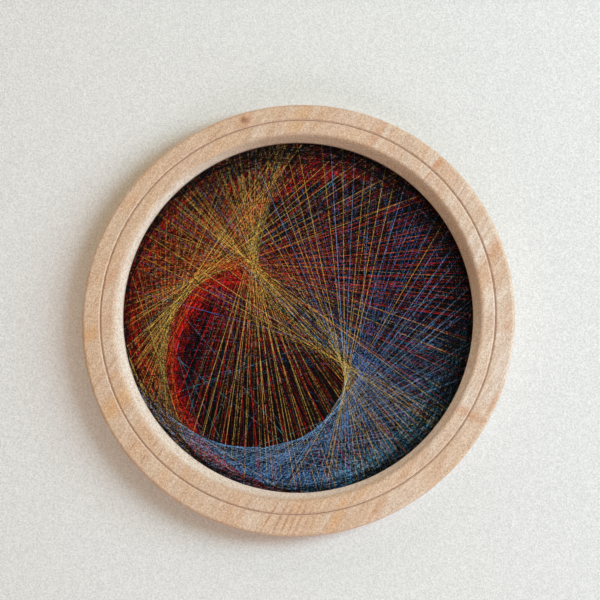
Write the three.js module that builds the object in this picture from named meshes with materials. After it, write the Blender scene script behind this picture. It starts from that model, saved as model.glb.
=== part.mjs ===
// String art in a round wooden frame: fine sewing threads stretched rim to rim across a turned ring,
// with a black board behind them.
// Millimetres, +Z up. The front faces -Y and the back, which lies against the wall, is the plane y = 0.
// The origin is the middle of the ring's outer circle, on that back plane.

import * as THREE from "three";

// The ring: one piece of pale wood, with a round-over on its outer front edge.
const RING_RADIUS = 200;
const RING_DEPTH = 28;
const OUTER_ROUND_OVER = 3;
const BACK_CHAMFER = 0.8;

// A V-groove runs round the middle of the flat face.
const GROOVE_RADIUS = 182.6;
const GROOVE_WIDTH = 3.2;
const GROOVE_DEPTH = 1.5;

// The opening has a sloping inner edge that eases into the flat face.
const OPENING_RADIUS = 162.7;
const BEVEL_WIDTH = 7.8;
const BEVEL_DEPTH = 8;
const BEVEL_EASE = 2;
const LIP_DEPTH = 15;

// The groove and the opening are turned a little off the outer circle's middle,
// so the ring is widest just right of its lowest point.
const OFF_CENTRE_X = -0.5;
const OFF_CENTRE_Z = 2.8;

// The wood has shrunk across its grain since it was turned, so every circle but the opening's
// own edge is slightly oval, long along the grain.
const OVAL_SHARE = 0.0083;
const OVAL_DIRECTION = THREE.MathUtils.degToRad(42);

// Behind the lip, a first rebate holds the threads and a wider one holds the board.
const THREAD_REBATE_RADIUS = 172;
const THREAD_WEB_THICKNESS = 3;
const BOARD_REBATE_RADIUS = 177;
const BOARD_THICKNESS = 4;
const FIT_GAP = 0.3;

// How finely circles and small curves are cut.
const CIRCLE_SEGMENTS = 96;
const CURVE_STEPS = 4;

const FRONT = -RING_DEPTH;
const LIP_BACK = FRONT + LIP_DEPTH;
const BOARD_FRONT = -BOARD_THICKNESS;
const OUTSIDE_THE_GROOVE = GROOVE_RADIUS + GROOVE_WIDTH;
const OUTSIDE_THE_OPENING = OPENING_RADIUS + BEVEL_WIDTH / 2;

const wood = new THREE.MeshStandardMaterial({ color: 0xd9bc98, roughness: 0.6, metalness: 0 });
const thread = new THREE.MeshStandardMaterial({ color: 0x7a2a22, roughness: 0.7, metalness: 0 });
const blackBoard = new THREE.MeshStandardMaterial({ color: 0x0a0c10, roughness: 0.85, metalness: 0 });

// Turns a profile, drawn as radius against y, round the Y axis.
// The circles outside the opening are then drawn out to ovals,
// and those inside the outer flat are shifted to the middle of the opening.
function turned(name, profile, material) {
  const points = profile.getPoints(CURVE_STEPS);
  const geometry = new THREE.LatheGeometry(points, CIRCLE_SEGMENTS);
  const position = geometry.getAttribute("position");
  for (let i = 0; i < position.count; i += 1) {
    const { x: radius } = points[i % points.length];
    let x = position.getX(i);
    let z = position.getZ(i);
    if (radius > OUTSIDE_THE_OPENING) {
      const turn = Math.atan2(z, x) - OVAL_DIRECTION;
      const stretch = 1 + OVAL_SHARE * Math.cos(2 * turn);
      x *= stretch;
      z *= stretch;
    }
    if (radius < OUTSIDE_THE_GROOVE) {
      x += OFF_CENTRE_X;
      z += OFF_CENTRE_Z;
    }
    position.setX(i, x);
    position.setZ(i, z);
  }
  geometry.computeVertexNormals();
  const mesh = new THREE.Mesh(geometry, material);
  mesh.name = name;
  return mesh;
}

function ringProfile() {
  const profile = new THREE.Path();
  const bevelTop = OPENING_RADIUS + BEVEL_WIDTH;
  const easeShare = BEVEL_EASE / BEVEL_WIDTH;
  profile.moveTo(RING_RADIUS - BACK_CHAMFER, 0);
  profile.lineTo(BOARD_REBATE_RADIUS, 0);
  profile.lineTo(BOARD_REBATE_RADIUS, BOARD_FRONT - FIT_GAP);
  profile.lineTo(THREAD_REBATE_RADIUS, BOARD_FRONT - FIT_GAP);
  profile.lineTo(THREAD_REBATE_RADIUS, LIP_BACK);
  profile.lineTo(OPENING_RADIUS, LIP_BACK);
  profile.lineTo(OPENING_RADIUS, FRONT + BEVEL_DEPTH);
  profile.lineTo(bevelTop - BEVEL_EASE, FRONT + BEVEL_DEPTH * easeShare);
  profile.quadraticCurveTo(bevelTop, FRONT, bevelTop + BEVEL_EASE, FRONT);
  profile.lineTo(GROOVE_RADIUS - GROOVE_WIDTH / 2, FRONT);
  profile.lineTo(GROOVE_RADIUS, FRONT + GROOVE_DEPTH);
  profile.lineTo(GROOVE_RADIUS + GROOVE_WIDTH / 2, FRONT);
  profile.lineTo(RING_RADIUS - OUTER_ROUND_OVER, FRONT);
  profile.quadraticCurveTo(RING_RADIUS, FRONT, RING_RADIUS, FRONT + OUTER_ROUND_OVER);
  profile.lineTo(RING_RADIUS, -BACK_CHAMFER);
  profile.lineTo(RING_RADIUS - BACK_CHAMFER, 0);
  return profile;
}

function discProfile(radius, front, thickness) {
  const profile = new THREE.Path();
  profile.moveTo(0, front);
  profile.lineTo(radius, front);
  profile.lineTo(radius, front + thickness);
  profile.lineTo(0, front + thickness);
  return profile;
}

const webRadius = THREAD_REBATE_RADIUS - FIT_GAP;
const webProfile = discProfile(webRadius, LIP_BACK + FIT_GAP, THREAD_WEB_THICKNESS);
const boardRadius = BOARD_REBATE_RADIUS - FIT_GAP;
const boardProfile = discProfile(boardRadius, BOARD_FRONT, BOARD_THICKNESS);

const stringArt = new THREE.Group();
stringArt.add(turned("frame_ring", ringProfile(), wood));
stringArt.add(turned("thread_web", webProfile, thread));
stringArt.add(turned("backing_board", boardProfile, blackBoard));

export default stringArt;
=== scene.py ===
"""The looks of string art in a round wooden frame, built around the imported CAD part.

Metres, +Z up. The front faces -Y and the back lies against the plane y = 0.
"""

import math
import random

import bpy
import numpy as np
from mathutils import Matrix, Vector


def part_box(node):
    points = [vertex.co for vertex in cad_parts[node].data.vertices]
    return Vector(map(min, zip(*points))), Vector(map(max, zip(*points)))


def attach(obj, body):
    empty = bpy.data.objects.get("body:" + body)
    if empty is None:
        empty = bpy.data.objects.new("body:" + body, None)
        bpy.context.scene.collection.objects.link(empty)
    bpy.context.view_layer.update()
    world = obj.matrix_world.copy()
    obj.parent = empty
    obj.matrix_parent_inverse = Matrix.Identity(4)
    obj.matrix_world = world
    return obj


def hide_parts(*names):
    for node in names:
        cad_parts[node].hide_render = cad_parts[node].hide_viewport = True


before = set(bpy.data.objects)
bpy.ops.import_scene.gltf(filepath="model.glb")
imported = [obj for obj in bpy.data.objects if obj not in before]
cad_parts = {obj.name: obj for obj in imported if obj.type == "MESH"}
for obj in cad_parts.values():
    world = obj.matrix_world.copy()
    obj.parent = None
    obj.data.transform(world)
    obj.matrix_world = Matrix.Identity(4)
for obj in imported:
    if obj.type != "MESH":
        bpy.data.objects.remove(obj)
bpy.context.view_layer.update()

MM = 0.001
BODY = "root"

# Where the CAD pieces are.
RING_LOW, RING_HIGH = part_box("frame_ring")
WEB_LOW, WEB_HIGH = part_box("thread_web")
BOARD_LOW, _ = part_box("backing_board")
FRONT = RING_LOW.y
BACK = RING_HIGH.y
OPENING_MIDDLE = (WEB_LOW + WEB_HIGH) / 2

# The ring's section, as in the CAD source, with the small roundings of a sanded edge.
RING_RADIUS = 200 * MM
OUTER_ROUNDING = 3 * MM
BACK_ROUNDING = 0.8 * MM
BOARD_REBATE_RADIUS = 177 * MM
THREAD_REBATE_RADIUS = 172 * MM
FIT_GAP = 0.3 * MM
REBATE_STEP = BOARD_LOW.y - FIT_GAP
OPENING_RADIUS = 162.7 * MM
LIP_BACK = FRONT + 15 * MM
BEVEL_WIDTH = 7.8 * MM
BEVEL_FOOT = FRONT + 8 * MM
BEVEL_TOP_RADIUS = OPENING_RADIUS + BEVEL_WIDTH
BEVEL_TOP_ROUNDING = 5 * MM
GROOVE_RADIUS = 182.6 * MM
GROOVE_HALF_WIDTH = 1.6 * MM
GROOVE_FLOOR = FRONT + 1.5 * MM
GROOVE_FLOOR_ROUNDING = 0.2 * MM
ARRIS = 0.35 * MM
# Every circle inside this radius is turned round the opening's middle.
OUTSIDE_THE_GROOVE = GROOVE_RADIUS + 2 * GROOVE_HALF_WIDTH
# Every circle outside this radius is slightly oval, long towards this angle.
OUTSIDE_THE_OPENING = OPENING_RADIUS + BEVEL_WIDTH / 2
OVAL_SHARE = 0.0083
OVAL_DIRECTION = math.radians(42)
# How finely the ring is cut, and how near its ends a flat of its section gets a further point.
RING_SEGMENTS = 384
ARC_STEPS = 6
FLAT_END = 0.15 * MM


# ---------------------------------------------------------------- materials


def srgb(red, green, blue):
    """A colour given in 0 to 255 sRGB steps, as the linear colour that nodes use."""

    def linear(step):
        share = step / 255
        return share / 12.92 if share <= 0.04045 else ((share + 0.055) / 1.055) ** 2.4

    return (linear(red), linear(green), linear(blue), 1.0)


class Shading:
    """A material's nodes. Most methods add one node and return its output socket."""

    def __init__(self, name):
        self.material = bpy.data.materials.new(name)
        self.material.use_nodes = True
        self.tree = self.material.node_tree
        self.surface = self.tree.nodes["Principled BSDF"]

    def node(self, kind, inputs, output=0, **settings):
        made = self.tree.nodes.new("ShaderNode" + kind)
        for name, value in settings.items():
            setattr(made, name, value)
        for name, value in inputs.items():
            self.put(made.inputs[name], value)
        return made.outputs[output]

    def put(self, socket, value):
        if isinstance(value, bpy.types.NodeSocket):
            self.tree.links.new(value, socket)
        else:
            socket.default_value = value

    def set(self, **values):
        """Sets the shader's own sockets, named with _ for a space."""
        for name, value in values.items():
            self.put(self.surface.inputs[name.replace("_", " ")], value)

    def place(self):
        return self.node("TexCoord", {}, output="Object")

    def attribute(self, name):
        return self.node("Attribute", {}, output="Fac", attribute_name=name)

    def turned(self, vector, angles):
        return self.node("Mapping", {"Vector": vector, "Rotation": angles})

    def stretched(self, vector, scale, shift=(0, 0, 0)):
        return self.node("Mapping", {"Vector": vector, "Scale": scale, "Location": shift})

    def part(self, vector, axis):
        """One of a vector's three numbers."""
        return self.node("SeparateXYZ", {"Vector": vector}, output=axis)

    def dot(self, first, second):
        inputs = {0: first, 1: second}
        return self.node("VectorMath", inputs, output="Value", operation="DOT_PRODUCT")

    def noise(self, vector, scale=1.0, detail=3.0, roughness=0.5):
        inputs = {"Vector": vector, "Scale": scale, "Detail": detail, "Roughness": roughness}
        return self.node("TexNoise", inputs)

    def line_noise(self, along, detail, roughness):
        """Noise that changes with one number only."""
        inputs = {"W": along, "Scale": 1.0, "Detail": detail, "Roughness": roughness}
        return self.node("TexNoise", inputs, noise_dimensions="1D")

    def math(self, operation, first, second=0.0, third=0.0):
        return self.node("Math", {0: first, 1: second, 2: third}, operation=operation)

    def span(self, value, low, high, to_low=0.0, to_high=1.0):
        """value from low..high to to_low..to_high, held at the ends."""
        inputs = {
            "Value": value,
            "From Min": low,
            "From Max": high,
            "To Min": to_low,
            "To Max": to_high,
        }
        return self.node("MapRange", inputs)

    def mix(self, share, first, second, blend="MIX"):
        """The first colour, with this share of the second."""
        made = self.tree.nodes.new("ShaderNodeMix")
        made.data_type = "RGBA"
        made.blend_type = blend
        self.put(made.inputs["Factor"], share)
        first_socket, second_socket = [socket for socket in made.inputs if socket.type == "RGBA"]
        self.put(first_socket, first)
        self.put(second_socket, second)
        return next(socket for socket in made.outputs if socket.type == "RGBA")

    def bump(self, height, depth, strength=1.0, below=None):
        inputs = {"Height": height, "Distance": depth, "Strength": strength}
        if below is not None:
            inputs["Normal"] = below
        return self.node("Bump", inputs)

    def show(self, surface):
        """Makes another shader the one that is seen."""
        self.put(self.tree.nodes["Material Output"].inputs["Surface"], surface)


def across_the_front(degrees):
    """The direction that lies this far above level, as seen from the front."""
    angle = math.radians(degrees)
    return (math.cos(angle), 0, math.sin(angle))


# The grain runs up to the right across the front, this far above level.
GRAIN_DEGREES = 59
ALONG_THE_GRAIN = across_the_front(GRAIN_DEGREES)
UPPER_RIGHT = across_the_front(58)
DOWNWARDS = across_the_front(-72)
PALE_WOOD = srgb(224, 207, 192)
WARM_WOOD = srgb(210, 186, 165)
# Pale bare wood, made paler still with painted light, for the sloping edge and the groove's walls.
BARE_WOOD_AND_PAINTED_LIGHT = srgb(225, 206, 190)
# Painted shade for the sloping edge's upper right side.
PAINTED_SHADE_WOOD = srgb(165, 139, 120)
END_GRAIN = srgb(178, 140, 108)
DEEP_WOOD = srgb(191, 154, 124)
GOLDEN_WOOD = srgb(211, 163, 116)
ROSY_WOOD = srgb(210, 168, 142)
YEAR_LINE = srgb(172, 118, 90)
# Painted shade for the groove's floor.
PAINTED_GROOVE_SHADE = srgb(132, 84, 58)
FLECK = srgb(146, 106, 76)
BLACK_PAINT = srgb(13, 14, 17)
WORN_PAINT = srgb(27, 28, 31)
DUST = srgb(62, 61, 59)
WHITE = (1.0, 1.0, 1.0, 1.0)
BANDS_PER_METRE = 110
YEARS_PER_METRE = 135
# Clouds and streaks in the wood, drawn out along the grain. Each row gives the colour, the noise's
# scale along and across the grain, its shift, detail and roughness, the levels where the colour
# begins and is full, and its full strength.
CLOUDS = [
    (GOLDEN_WOOD, 11, 38, (0, 0, 0), 3, 0.6, 0.40, 0.66, 0.62),
    (ROSY_WOOD, 14, 52, (3, 1, 2), 2, 0.5, 0.48, 0.68, 0.50),
    (DEEP_WOOD, 26, 240, (5, 2, 9), 2, 0.5, 0.44, 0.68, 0.48),
]
# Single marks in the wood, by colour. Each row gives where its middle lies on the ring (degrees
# round from the right, and mm out), its length and width in mm, which way it runs (degrees
# above level) and how strong it is.
MARKS = [
    (srgb(194, 136, 100), [  # rusty stains
        (48, 194, 22, 8, 49, 0.95),
        (48, 178, 22, 2.6, 52, 0.85),
        (19, 192, 30, 15, 70, 0.50),
        (13, 177, 16, 12, 64, 0.30),
        (105, 191, 24, 16, 60, 0.60),
        (84, 187, 34, 7, 62, 0.45),
        (67, 186, 38, 7, 55, 0.60),
        (61, 181, 10, 6, 71, 0.60),
        (167, 177, 24, 9, 56, 0.45),
        (242, 184, 30, 5, 59, 0.35),
        (250.5, 184, 32, 5, 64, 0.35),
        (254, 184, 34, 5, 64, 0.35),
        (293, 188, 32, 6, 55, 0.60),
        (305, 172, 36, 6, 50, 0.50),
        (331, 181, 40, 10, 153, 0.70),
        (337, 196, 30, 4, 59, 0.50),
        (358, 192, 16, 9, 56, 0.50),
    ]),
    (srgb(206, 157, 112), [  # golden patches
        (281.5, 183, 52, 10, 62, 0.85),
        (90, 186, 44, 18, 50, 0.70),
        (145, 191, 28, 12, 38, 0.45),
        (184, 192, 22, 14, 45, 0.85),
        (197, 179, 14, 9, 58, 0.50),
        (205, 186, 38, 17, 47, 0.80),
        (234, 177, 18, 8, 73, 0.50),
        (290, 170, 30, 8, 50, 0.60),
    ]),
    (YEAR_LINE, [  # growth rings, wide near the lowest point and thin elsewhere
        (262, 182, 42, 1.9, 58, 0.95),
        (265, 182, 40, 2.8, 62, 0.80),
        (267, 183, 38, 2.5, 64, 0.80),
        (269, 183, 38, 2.4, 65, 0.75),
        (271, 181, 38, 2.4, 66, 0.65),
        (273, 182, 36, 2.2, 66, 0.55),
        (275, 182, 34, 2.2, 66, 0.45),
        (34, 187, 30, 1.4, 49, 0.50),
        (38, 193, 14, 1.4, 55, 0.60),
        (41, 194, 16, 1.4, 66, 0.60),
        (44, 179, 13, 1.4, 57, 0.50),
        (115, 187, 30, 1.8, 48, 0.70),
        (213, 194, 12, 1.5, 55, 0.60),
        (217.5, 193, 16, 1.5, 55, 0.85),
        (219, 175, 10, 1.5, 51, 0.70),
        (221, 176, 12, 1.5, 50, 0.70),
        (222, 192, 16, 1.5, 60, 0.85),
        (224, 177, 11, 1.5, 56, 0.70),
    ]),
    (srgb(140, 90, 66), [  # a knot, and a nick in the sloping edge
        (105, 192, 9, 7, 175, 0.95),
        (70, 171, 9, 1.8, 142, 0.85),
    ]),
    (srgb(230, 210, 190), [  # pale patches
        (8, 177, 20, 10, 75, 0.70),
        (256, 188, 40, 12, 60, 0.35),
    ]),
]
# How deep they go into the wood.
MARK_DEPTH = 30 * MM


def mark_share(s, place, round_degrees, out, length, width, runs, strength):
    """A mark's strength round its middle, falling to 0 a little outside its edge."""
    x, _, z = across_the_front(round_degrees)
    inputs = {
        "Vector": place,
        "Location": (out * MM * x, FRONT, out * MM * z),
        "Rotation": (0, -math.radians(runs), 0),
        "Scale": (length * MM / 2, MARK_DEPTH, width * MM / 2),
    }
    offset = s.node("Mapping", inputs, vector_type="TEXTURE")
    distance = s.node("VectorMath", {0: offset}, output="Value", operation="LENGTH")
    return s.span(distance, 0.45, 1.2, strength, 0.0)


def ground_colour(s, place, bend):
    """The wood's ground colour, warmer towards the left and paler towards the right."""
    rightwards = s.math("MULTIPLY_ADD", bend, 60 * MM, s.part(place, "X"))
    return s.mix(s.span(rightwards, 0, RING_RADIUS), WARM_WOOD, PALE_WOOD)


def clouds(s, grained, colour):
    """The clouds and streaks of the table."""
    for tint, along, across, shift, detail, roughness, begins, full, strength in CLOUDS:
        drawn_out = s.stretched(grained, (along, across, across), shift)
        cloud = s.noise(drawn_out, detail=detail, roughness=roughness)
        colour = s.mix(s.span(cloud, begins, full, 0.0, strength), colour, tint)
    return colour


def growth_rings(s, grained, bend, colour):
    """Broad soft bands, and the darker line that ends each year's growth."""
    ripple = s.noise(s.stretched(grained, (16, 30, 70)), detail=2)
    grown = s.math("MULTIPLY_ADD", bend, 50 * MM, s.part(grained, "Z"))
    grown = s.math("MULTIPLY_ADD", ripple, 2.4 * MM, grown)
    grown = s.math("MULTIPLY_ADD", s.part(grained, "Y"), 0.55, grown)
    bands = s.line_noise(s.math("MULTIPLY", grown, BANDS_PER_METRE), detail=4, roughness=0.65)
    patchy = s.noise(s.stretched(grained, (7, 20, 22)), detail=2)
    band_strength = s.span(patchy, 0.35, 0.65, 0.3, 0.8)
    band_share = s.math("MULTIPLY", s.span(bands, 0.50, 0.78), band_strength)
    colour = s.mix(band_share, colour, DEEP_WOOD)
    # A line is soft on the side that grew first and sharp on the other.
    years = s.math("FRACT", s.math("MULTIPLY", grown, YEARS_PER_METRE))
    line_strength = s.span(patchy, 0.40, 0.65, 0.06, 0.34)
    line_share = s.math("MULTIPLY", s.math("POWER", years, 2.6), line_strength)
    return s.mix(line_share, colour, YEAR_LINE)


def single_marks(s, place, colour):
    """The stains, patches, lines and knot of the table."""
    for mark_colour, rows in MARKS:
        share = 0.0
        for row in rows:
            share = s.math("MAXIMUM", mark_share(s, place, *row), share)
        colour = s.mix(share, colour, mark_colour)
    return colour


def end_grain(s, colour):
    """Darker where the surface faces along the grain, that is where the grain is cut across."""
    normal = s.node("NewGeometry", {}, output="Normal")
    cut = s.math("ABSOLUTE", s.dot(normal, ALONG_THE_GRAIN))
    return s.mix(s.span(cut, 0.1, 1.0, 0.0, 0.55), colour, END_GRAIN)


def inner_edge(s, place, colour):
    """The sloping edge, pale with bare wood and painted light, and darkened with painted shade towards
    its upper right side.

    Below, the paleness keeps to its foot.
    """
    offset = s.node("VectorMath", {0: place, 1: OPENING_MIDDLE}, operation="SUBTRACT")
    up_right = s.dot(offset, UPPER_RIGHT)
    # Painted shade: the sloping edge is painted darker towards its upper right side.
    painted_shade = s.span(up_right, 0.30 * OPENING_RADIUS, 0.75 * OPENING_RADIUS)
    down = s.dot(offset, DOWNWARDS)
    late = s.span(down, 0.6 * OPENING_RADIUS, 0.95 * OPENING_RADIUS, 0.0, 0.15)
    below = s.math("SUBTRACT", s.attribute("slope"), late)
    # The rest of the edge is pale: partly bare wood, partly painted light.
    sloping = s.mix(painted_shade, BARE_WOOD_AND_PAINTED_LIGHT, PAINTED_SHADE_WOOD)
    return s.mix(s.span(below, 0.05, 0.40, 0.0, 0.95), colour, sloping)


def groove(s, colour):
    """The groove: its walls painted pale as a painted highlight, and its floor painted darker as painted
    shade.
    """
    hollow = s.attribute("hollow")
    # Painted highlight: the groove's walls are painted pale.
    colour = s.mix(s.span(hollow, 0.0, 0.3, 0.0, 0.45), colour, BARE_WOOD_AND_PAINTED_LIGHT)
    # Painted shade: the groove's floor is painted darker.
    return s.mix(s.span(hollow, 0.5, 0.9, 0.0, 0.8), colour, PAINTED_GROOVE_SHADE)


def pale_wood():
    """Maple or beech, cut so that its growth rings cross the ring's face as slanting bands."""
    s = Shading("pale_wood")
    place = s.place()
    # Turned so that x runs along the grain, y through the depth and z across the grain.
    grained = s.turned(place, (0, math.radians(GRAIN_DEGREES), 0))
    bend = s.noise(s.stretched(grained, (3.2, 5, 7)), detail=2)
    colour = ground_colour(s, place, bend)
    colour = clouds(s, grained, colour)
    colour = growth_rings(s, grained, bend, colour)
    colour = single_marks(s, place, colour)
    colour = end_grain(s, colour)
    colour = inner_edge(s, place, colour)
    colour = groove(s, colour)
    # Fibres, then pale grit and the short dark flecks of the rays.
    fibres = s.noise(s.stretched(grained, (70, 620, 620)), detail=3, roughness=0.6)
    colour = s.mix(s.span(fibres, 0.40, 0.66, 0.0, 0.55), colour, DEEP_WOOD)
    grit = s.noise(place, 950, detail=2, roughness=0.7)
    colour = s.mix(s.span(grit, 0.42, 0.62, 0.0, 0.85), colour, WHITE, blend="SOFT_LIGHT")
    flecks = s.noise(s.stretched(grained, (420, 1000, 1000), (7, 3, 5)), detail=1)
    fleck_share = s.span(flecks, 0.54, 0.70)
    colour = s.mix(s.math("MULTIPLY", fleck_share, 0.45), colour, FLECK)
    fine = s.bump(fibres, 0.12 * MM, 0.5)
    s.set(Base_Color=colour)
    s.set(Roughness=s.span(fibres, 0.3, 0.8, 0.50, 0.66))
    s.set(Normal=s.bump(fleck_share, -0.06 * MM, 0.6, below=fine))
    s.set(Specular_IOR_Level=0.4)
    return s.material


def black_board():
    """Black painted board with brush strokes, a faint tooth and a little dust."""
    s = Shading("black_board")
    place = s.place()
    tooth = s.noise(place, 900, detail=3)
    dust = s.noise(place, 35, detail=5, roughness=0.7)
    strokes = s.noise(s.stretched(place, (8, 8, 240), (2, 0, 5)), detail=3, roughness=0.6)
    colour = s.mix(s.span(strokes, 0.4, 0.7), BLACK_PAINT, WORN_PAINT)
    colour = s.mix(s.span(dust, 0.5, 0.8, 0.0, 0.6), colour, DUST)
    s.set(Base_Color=colour)
    s.set(Roughness=s.span(dust, 0.3, 0.7, 0.72, 0.9))
    s.set(Normal=s.bump(tooth, 0.08 * MM, 0.5))
    return s.material


def sewing_thread(colour):
    """Twisted two-ply thread whose plies wind round each other. Each length has its own tone, with
    painted glints along it and painted shade between the plies.
    """
    s = Shading("thread_" + colour)
    full = THREAD_COLOURS[colour]
    dark = tuple(DARK_SHARE * light for light in full[:3]) + (1.0,)
    # Painted glints: the thread's colour is made lighter and darker along its length, where a twisted
    # thread would catch the light.
    painted_glints = s.span(s.noise(s.place(), 650, detail=1), 0.35, 0.65, -0.5, 0.5)
    # Each length's own tone, with the painted glints added to it.
    tone_and_glints = s.math("MULTIPLY_ADD", painted_glints, 0.85, s.attribute("shade"))
    turns = s.node("UVMap", {}, output="UV", uv_map="twist")
    # 0 in the valley between the two plies and 0.5 on top of each.
    ply = s.math("MULTIPLY_ADD", s.part(turns, "Y"), 2.0, s.part(turns, "X"))
    ply = s.math("PINGPONG", ply, 0.5)
    body = s.mix(s.span(tone_and_glints, 0.2, 0.8), dark, full)
    # Painted shade: the valley between the plies is darkened.
    s.set(Base_Color=s.mix(s.span(ply, 0.0, 0.16, 0.45, 0.0), body, dark))
    s.set(Roughness=0.6)
    s.set(Normal=s.bump(s.span(ply, 0.0, 0.35), 0.06 * MM, 0.8))
    s.set(Specular_IOR_Level=0.12)
    return s.material


# ---------------------------------------------------------------- shapes


def new_piece(name, vertices, faces, material, smooth=True):
    mesh = bpy.data.meshes.new(name)
    mesh.from_pydata(vertices, [], faces)
    mesh.materials.append(material)
    mesh.polygons.foreach_set("use_smooth", [smooth] * len(mesh.polygons))
    mesh.update()
    piece = bpy.data.objects.new(name, mesh)
    bpy.context.scene.collection.objects.link(piece)
    return piece


def set_attribute(piece, name, values):
    """Gives each vertex of a piece a number that its material reads."""
    attribute = piece.data.attributes.new(name, "FLOAT", "POINT")
    attribute.data.foreach_set("value", values)


def rounded(corners):
    """A closed outline of (radius, y) points from corners of (radius, y, rounding)."""
    outline = []
    for before, corner, after in zip(corners[-1:] + corners, corners, corners[1:] + corners[:1]):
        at = Vector(corner[:2])
        back_way = (Vector(before[:2]) - at).normalized()
        on_way = (Vector(after[:2]) - at).normalized()
        half = back_way.angle(on_way) / 2
        rounding = corner[2]
        if not rounding:
            outline.append(at)
            continue
        middle = at + (back_way + on_way).normalized() * (rounding / math.sin(half))
        start = at + back_way * (rounding / math.tan(half)) - middle
        end = at + on_way * (rounding / math.tan(half)) - middle
        for step in range(ARC_STEPS + 1):
            share = step / ARC_STEPS
            spoke = start.lerp(end, share).normalized()
            outline.append(middle + spoke * rounding)
    return outline


def with_flats(outline):
    """The outline with two more points on each long flat, near its ends, so that it shades flat."""
    made = []
    for at, after in zip(outline, outline[1:] + outline[:1]):
        made.append(at)
        if (after - at).length > 3 * FLAT_END:
            step = (after - at).normalized() * FLAT_END
            made.extend([at + step, after - step])
    return made


def ring_point(radius, angle):
    """x and z of a point of the ring. Its opening and groove are a little off the outer edge's middle."""
    x, z = radius * math.cos(angle), radius * math.sin(angle)
    if radius > OUTSIDE_THE_OPENING:
        stretch = 1 + OVAL_SHARE * math.cos(2 * (angle - OVAL_DIRECTION))
        x, z = x * stretch, z * stretch
    if radius < OUTSIDE_THE_GROOVE:
        x, z = x + OPENING_MIDDLE.x, z + OPENING_MIDDLE.z
    return x, z


def ring_outline():
    """The ring's section, with its roundings."""
    corners = [
        (RING_RADIUS, BACK, BACK_ROUNDING),
        (BOARD_REBATE_RADIUS, BACK, ARRIS),
        (BOARD_REBATE_RADIUS, REBATE_STEP, 0),
        (THREAD_REBATE_RADIUS, REBATE_STEP, 0),
        (THREAD_REBATE_RADIUS, LIP_BACK, 0),
        (OPENING_RADIUS, LIP_BACK, ARRIS),
        (OPENING_RADIUS, BEVEL_FOOT, ARRIS),
        (BEVEL_TOP_RADIUS, FRONT, BEVEL_TOP_ROUNDING),
        (GROOVE_RADIUS - GROOVE_HALF_WIDTH, FRONT, ARRIS),
        (GROOVE_RADIUS, GROOVE_FLOOR, GROOVE_FLOOR_ROUNDING),
        (GROOVE_RADIUS + GROOVE_HALF_WIDTH, FRONT, ARRIS),
        (RING_RADIUS, FRONT, OUTER_ROUNDING),
    ]
    return with_flats(rounded(corners))


def turned_ring():
    """The ring: its outline taken round the Y axis."""
    outline = ring_outline()
    count = len(outline)
    vertices = []
    faces = []
    for segment in range(RING_SEGMENTS):
        angle = 2 * math.pi * segment / RING_SEGMENTS
        here = segment * count
        there = (segment + 1) % RING_SEGMENTS * count
        for point, (radius, y) in enumerate(outline):
            x, z = ring_point(radius, angle)
            vertices.append((x, y, z))
            after = (point + 1) % count
            faces.append((here + point, there + point, there + after, here + after))
    piece = new_piece("turned_ring", vertices, faces, pale_wood())
    # How far each point lies down the groove and down the sloping edge, from 0 to 1.
    hollow = [max(0.0, 1 - abs(radius - GROOVE_RADIUS) / GROOVE_HALF_WIDTH) for radius, _ in outline]
    slope = [max(0.0, (BEVEL_TOP_RADIUS - radius) / BEVEL_WIDTH) for radius, _ in outline]
    set_attribute(piece, "hollow", hollow * RING_SEGMENTS)
    set_attribute(piece, "slope", slope * RING_SEGMENTS)
    return piece


# ---------------------------------------------------------------- threads

THREAD_COLOURS = {
    "ink": srgb(4, 5, 10),
    "navy": srgb(18, 38, 76),
    "blue": srgb(68, 134, 230),
    "sky": srgb(136, 190, 244),
    "teal": srgb(72, 182, 208),
    "purple": srgb(92, 44, 108),
    "wine": srgb(74, 14, 20),
    "crimson": srgb(160, 22, 32),
    "red": srgb(255, 38, 28),
    "orange": srgb(246, 114, 40),
    "gold": srgb(255, 214, 104),
    "olive": srgb(184, 164, 90),
}
# A thread's darkest shade, as a share of its full colour.
DARK_SHARE = 0.1
THREAD_DIAMETER = 0.29 * MM
# The thinnest and thickest threads, as shares of the diameter.
THREAD_RANGE = (0.85, 1.15)
# A thread is a rod with this many sides, in this many lengths.
THREAD_SIDES = 6
THREAD_LENGTHS = 6
# One full turn of the two plies takes this much thread.
TWIST_PITCH = 1.1 * MM
# The ends go this far into the wood of the ring's rebate.
THREAD_HOLD = 0.3 * MM
# How much a thread rides up and down where it crosses others.
THREAD_RIDE = 0.12 * MM
# Where a thread can be held, evenly round the ring.
PINS = 360
# The shortest thread, as a share of the web's width.
SHORTEST = 0.1
# How far one colour of a course runs into the next, as a share of its stretch.
COLOUR_RUN = 0.4
# What starts each run of random numbers.
WINDING_SEED = 8
THREAD_SEED = 11


class Winding:
    """The threads in the order of their winding: each is (first pin, last pin, colour)."""

    def __init__(self, seed):
        self.chance = random.Random(seed)
        self.threads = []

    def tie(self, start, end, colour):
        """A thread between the pins nearest to two angles in degrees, unless they lie close together."""
        first, last = (round(angle / 360 * PINS) for angle in (start, end))
        if abs(math.sin(math.pi * (first - last) / PINS)) > SHORTEST:
            self.threads.append((first, last, colour))

    def scatter(self, count, colours):
        """Threads laid every way, as near the middle as near the rim."""
        for _ in range(count):
            facing = self.chance.uniform(0, 360)
            reach = math.degrees(math.acos(self.chance.uniform(0, 0.99)))
            self.tie(facing - reach, facing + reach, self.chance.choice(colours))

    def course(self, multiplier, turn, count, spread, colours, arc=(0, 360)):
        """Each pin of an arc is tied to the pin at its own angle times multiplier, turned on by turn.

        The colours follow one another along the arc, each running a little into the next.
        """
        low, high = arc
        for step in range(count):
            start = low + (high - low) * step / count
            end = multiplier * start + self.chance.gauss(turn, spread)
            place = step / count * len(colours) + self.chance.gauss(0, COLOUR_RUN)
            self.tie(start, end, colours[math.floor(place) % len(colours)])


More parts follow.
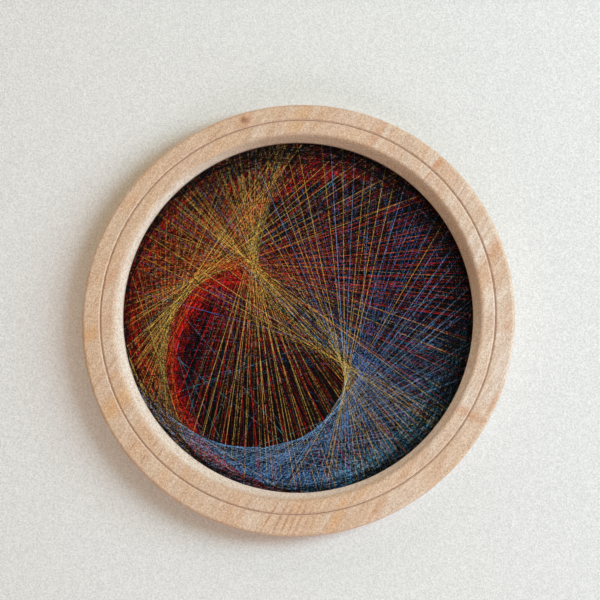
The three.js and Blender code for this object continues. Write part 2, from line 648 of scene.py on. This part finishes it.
def wound_threads():
    """Dark threads every way, then a blue and a red heart curve that face each other, edged in gold.

    The numbers of a course are its multiplier, turn, count and spread.
    """
    winding = Winding(WINDING_SEED)
    blues = ["blue", "teal", "sky", "blue", "sky", "teal"]
    reds = ["red", "red", "crimson", "red", "red", "crimson"]
    # The dark ground.
    winding.scatter(1400, ["ink"] * 17 + ["navy"] * 3)
    # The two heart curves, each wound loosely and then built up.
    winding.course(2, 200, 130, 2.4, ["navy", "blue", "teal", "navy"])
    for turn in (207, 212, 217):
        winding.course(2, turn, 150, 0.6, blues, arc=(150, 360))
    winding.course(2, 18, 150, 2.4, ["crimson", "wine", "crimson", "purple"])
    for turn in (25, 29, 33):
        winding.course(2, turn, 165, 0.5, reds, arc=(30, 300))
    winding.scatter(500, ["ink"] * 18 + ["blue", "teal"])
    # Colour along the rim, blue below and red at the left.
    winding.course(1, 60, 280, 6.0, ["teal", "blue", "sky", "teal"], arc=(185, 290))
    winding.course(1, 55, 150, 6.0, ["red", "crimson", "red", "orange"], arc=(100, 190))
    winding.scatter(120, ["ink"])
    # Brighter threads over the curves.
    winding.course(2, 33, 100, 0.3, ["red"], arc=(60, 290))
    winding.course(2, 214, 92, 0.3, ["sky", "blue"], arc=(180, 340))
    winding.course(2, 38, 70, 0.4, ["red", "orange"], arc=(60, 280))
    # Gold edges and fans.
    for turn in (46, 49, 52):
        winding.course(2, turn, 56, 0.4, ["gold", "gold", "orange", "gold", "olive"], arc=(90, 240))
        winding.scatter(50, ["ink"])
    winding.course(2, 226, 96, 0.3, ["gold", "sky", "sky", "gold"], arc=(150, 330))
    winding.scatter(115, ["ink"] * 22 + ["teal"])
    # Dark threads along the rim, widest at the right, as painted shade: they stand in for the shadow the
    # lip throws on the threads.
    winding.course(1, 60, 210, 10.0, ["ink"], arc=(-75, 100))
    winding.course(1, 47, 125, 5.0, ["ink"], arc=(85, 290))
    return winding.threads


def pin_place(pin, y):
    """Where a thread is held: just inside the wood of the ring's rebate, at this depth."""
    x, z = ring_point(THREAD_REBATE_RADIUS + THREAD_HOLD, 2 * math.pi * pin / PINS)
    return np.array((x, y, z))


class ThreadMesh:
    """All threads of one colour as one mesh of closed round rods."""

    def __init__(self):
        self.vertices = []
        self.faces = []
        self.shades = []
        self.lengths = []

    def add(self, start, end, thickness, shade, ride):
        """A rod between two points, moved back or forward by each number of ride along its way."""
        along = end - start
        length = float(np.linalg.norm(along))
        side = np.cross(along, (0, 1, 0)) / length
        up = np.cross(side, along) / length
        turns = np.arange(THREAD_SIDES) * (2 * math.pi / THREAD_SIDES)
        rim = (np.outer(np.cos(turns), side) + np.outer(np.sin(turns), up)) * thickness / 2
        first = len(self.vertices)
        for step, offset in enumerate(ride):
            middle = start + along * (step / THREAD_LENGTHS) + (0, offset, 0)
            self.vertices.extend(middle + rim)
        for step in range(THREAD_LENGTHS):
            for corner in range(THREAD_SIDES):
                beside = (corner + 1) % THREAD_SIDES
                near = first + step * THREAD_SIDES
                far = near + THREAD_SIDES
                self.faces.append((near + corner, near + beside, far + beside, far + corner))
        last = first + THREAD_LENGTHS * THREAD_SIDES
        self.faces.append(tuple(range(first, first + THREAD_SIDES))[::-1])
        self.faces.append(tuple(range(last, last + THREAD_SIDES)))
        self.shades.extend([shade] * (len(self.vertices) - first))
        self.lengths.append(length)

    def twist_map(self, mesh):
        """UV for the twist: u counts turns of the plies along the thread, v goes round it."""
        corners = []
        for length in self.lengths:
            turns = length / TWIST_PITCH / THREAD_LENGTHS
            for step in range(THREAD_LENGTHS):
                for corner in range(THREAD_SIDES):
                    low, high = corner / THREAD_SIDES, (corner + 1) / THREAD_SIDES
                    near, far = step * turns, (step + 1) * turns
                    corners += [near, low, near, high, far, high, far, low]
            # The two ends are hidden in the wood, so they need no twist.
            corners += [0.0] * (4 * THREAD_SIDES)
        layer = mesh.uv_layers.new(name="twist")
        layer.uv.foreach_set("vector", corners)

    def piece(self, name, material):
        made = new_piece(name, self.vertices, self.faces, material)
        set_attribute(made, "shade", self.shades)
        self.twist_map(made.data)
        return made


def thread_pieces():
    """One joined mesh of round threads for each colour, later threads lying in front."""
    threads = wound_threads()
    chance = random.Random(THREAD_SEED)
    backmost = WEB_HIGH.y - THREAD_DIAMETER
    frontmost = WEB_LOW.y + THREAD_DIAMETER
    meshes = {colour: ThreadMesh() for colour in THREAD_COLOURS}
    for order, (first, last, colour) in enumerate(threads):
        y = backmost + (frontmost - backmost) * order / len(threads)
        start, end = (pin_place(pin, y) for pin in (first, last))
        thickness = THREAD_DIAMETER * chance.uniform(*THREAD_RANGE)
        ride = [chance.uniform(-THREAD_RIDE, THREAD_RIDE) for _ in range(THREAD_LENGTHS + 1)]
        meshes[colour].add(start, end, thickness, chance.random(), ride)
    for colour, mesh in meshes.items():
        piece = mesh.piece("threads_" + colour, sewing_thread(colour))
        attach(piece, BODY)
        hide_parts("thread_web")


# ---------------------------------------------------------------- studio

STAGE_HALF = 8.0
FLOOR_Z = -2.4
# The backdrop stands just behind the part's flat back.
WALL_Y = 1 * MM
WALL_SHADE = srgb(207, 208, 208)
WALL_LIGHT = srgb(248, 249, 248)
FLOOR_PAINT = srgb(225, 224, 221)
FLOOR_SEEN = srgb(214, 213, 210)
CAMERA_DISTANCE = 2.2
CAMERA_AZIMUTH = math.radians(1.5)
CAMERA_ELEVATION = math.radians(-3)
CAMERA_AIM = Vector((1.2 * MM, 0, 19.65 * MM))
# The width that the camera takes in at that distance, and its sensor's width in mm.
FIELD = 0.5615
SENSOR = 36.0


def camera():
    data = bpy.data.cameras.new("camera")
    data.sensor_width = SENSOR
    data.lens = SENSOR * CAMERA_DISTANCE / FIELD
    made = bpy.data.objects.new("camera", data)
    bpy.context.scene.collection.objects.link(made)
    away = Vector((
        math.sin(CAMERA_AZIMUTH) * math.cos(CAMERA_ELEVATION),
        -math.cos(CAMERA_AZIMUTH) * math.cos(CAMERA_ELEVATION),
        math.sin(CAMERA_ELEVATION),
    ))
    made.location = CAMERA_AIM + away * CAMERA_DISTANCE
    made.rotation_mode = "QUATERNION"
    made.rotation_quaternion = (-away).to_track_quat("-Z", "Y")
    bpy.context.scene.camera = made


def lamp(name, direction, distance, size, power, colour):
    """A flat lamp that shines on the part from this direction."""
    data = bpy.data.lights.new(name, "AREA")
    data.shape = "RECTANGLE"
    data.size, data.size_y = size
    data.energy = power
    data.color = colour
    made = bpy.data.objects.new(name, data)
    bpy.context.scene.collection.objects.link(made)
    direction = Vector(direction).normalized()
    made.location = direction * distance
    made.rotation_mode = "QUATERNION"
    made.rotation_quaternion = direction.to_track_quat("Z", "Y")


def backdrop_paint():
    """Pale matt paint on its front only, so that views from behind the wall see the part."""
    s = Shading("backdrop_paint")
    place = s.place()
    grain = s.noise(place, 700, detail=3, roughness=0.7)
    s.set(Base_Color=s.mix(s.span(grain, 0.3, 0.7), WALL_SHADE, WALL_LIGHT))
    s.set(Roughness=0.9)
    s.set(Normal=s.bump(grain, 0.5 * MM, 0.5))
    behind = s.node("NewGeometry", {}, output="Backfacing")
    clear = s.node("BsdfTransparent", {})
    s.show(s.node("MixShader", {0: behind, 1: s.surface.outputs[0], 2: clear}))
    return s.material


def floor_paint():
    """Pale matt paint, seen as plain pale grey however the room's light tints it."""
    s = Shading("floor_paint")
    s.set(Base_Color=FLOOR_PAINT, Roughness=0.9)
    seen = s.node("Emission", {"Color": FLOOR_SEEN})
    to_camera = s.node("LightPath", {}, output="Is Camera Ray")
    s.show(s.node("MixShader", {0: to_camera, 1: s.surface.outputs[0], 2: seen}))
    return s.material


# Cool daylight from the right and a little above, in a room with warm shadows. Each row gives a
# lamp's name, its direction from the part, distance, size, power in watts and colour.
LAMPS = [
    ("key_lamp", (0.76, -0.61, 0.19), 3.5, (2.9, 1.1), 133, (0.65, 0.83, 0.94)),
    ("top_lamp", (-0.08, -0.5, 0.86), 3.5, (3.0, 2.0), 21, (1.0, 0.76, 0.88)),
    ("low_lamp", (0.1, -0.67, -0.73), 2.8, (2.0, 1.4), 14, (1.0, 0.6, 0.8)),
    ("rear_lamp", (-0.4, 0.8, 0.5), 3.0, (2.0, 2.0), 40, (1.0, 1.0, 1.0)),
]
ROOM_COLOUR = (1.0, 0.80, 0.40, 1.0)
ROOM_STRENGTH = 0.37
SEEN_STRENGTH = 0.75


def room_light():
    """Warm light from all round, where the background itself is seen as plain pale grey."""
    world = bpy.data.worlds.new("studio")
    world.use_nodes = True
    tree = world.node_tree
    warm = tree.nodes["Background"]
    warm.inputs["Color"].default_value = ROOM_COLOUR
    warm.inputs["Strength"].default_value = ROOM_STRENGTH
    seen = tree.nodes.new("ShaderNodeBackground")
    seen.inputs["Color"].default_value = WHITE
    seen.inputs["Strength"].default_value = SEEN_STRENGTH
    rays = tree.nodes.new("ShaderNodeLightPath")
    both = tree.nodes.new("ShaderNodeMixShader")
    tree.links.new(rays.outputs["Is Camera Ray"], both.inputs[0])
    tree.links.new(warm.outputs[0], both.inputs[1])
    tree.links.new(seen.outputs[0], both.inputs[2])
    tree.links.new(both.outputs[0], tree.nodes["World Output"].inputs["Surface"])
    bpy.context.scene.world = world


def stage_sheet(name, corners, material):
    return new_piece(name, corners, [(0, 1, 2, 3)], material, smooth=False)


def studio():
    left, right = -STAGE_HALF, STAGE_HALF
    wall_corners = [
        (left, WALL_Y, FLOOR_Z),
        (right, WALL_Y, FLOOR_Z),
        (right, WALL_Y, STAGE_HALF),
        (left, WALL_Y, STAGE_HALF),
    ]
    floor_corners = [
        (left, -STAGE_HALF, FLOOR_Z),
        (right, -STAGE_HALF, FLOOR_Z),
        (right, STAGE_HALF, FLOOR_Z),
        (left, STAGE_HALF, FLOOR_Z),
    ]
    wall = stage_sheet("backdrop", wall_corners, backdrop_paint())
    wall.visible_shadow = False
    floor = stage_sheet("floor", floor_corners, floor_paint())
    for row in LAMPS:
        lamp(*row)
    room_light()
    bpy.context.scene.view_settings.view_transform = "Standard"


camera()
studio()
ring = turned_ring()
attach(ring, BODY)
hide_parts("frame_ring")
thread_pieces()
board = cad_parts["backing_board"]
board.data.materials.clear()
board.data.materials.append(black_board())
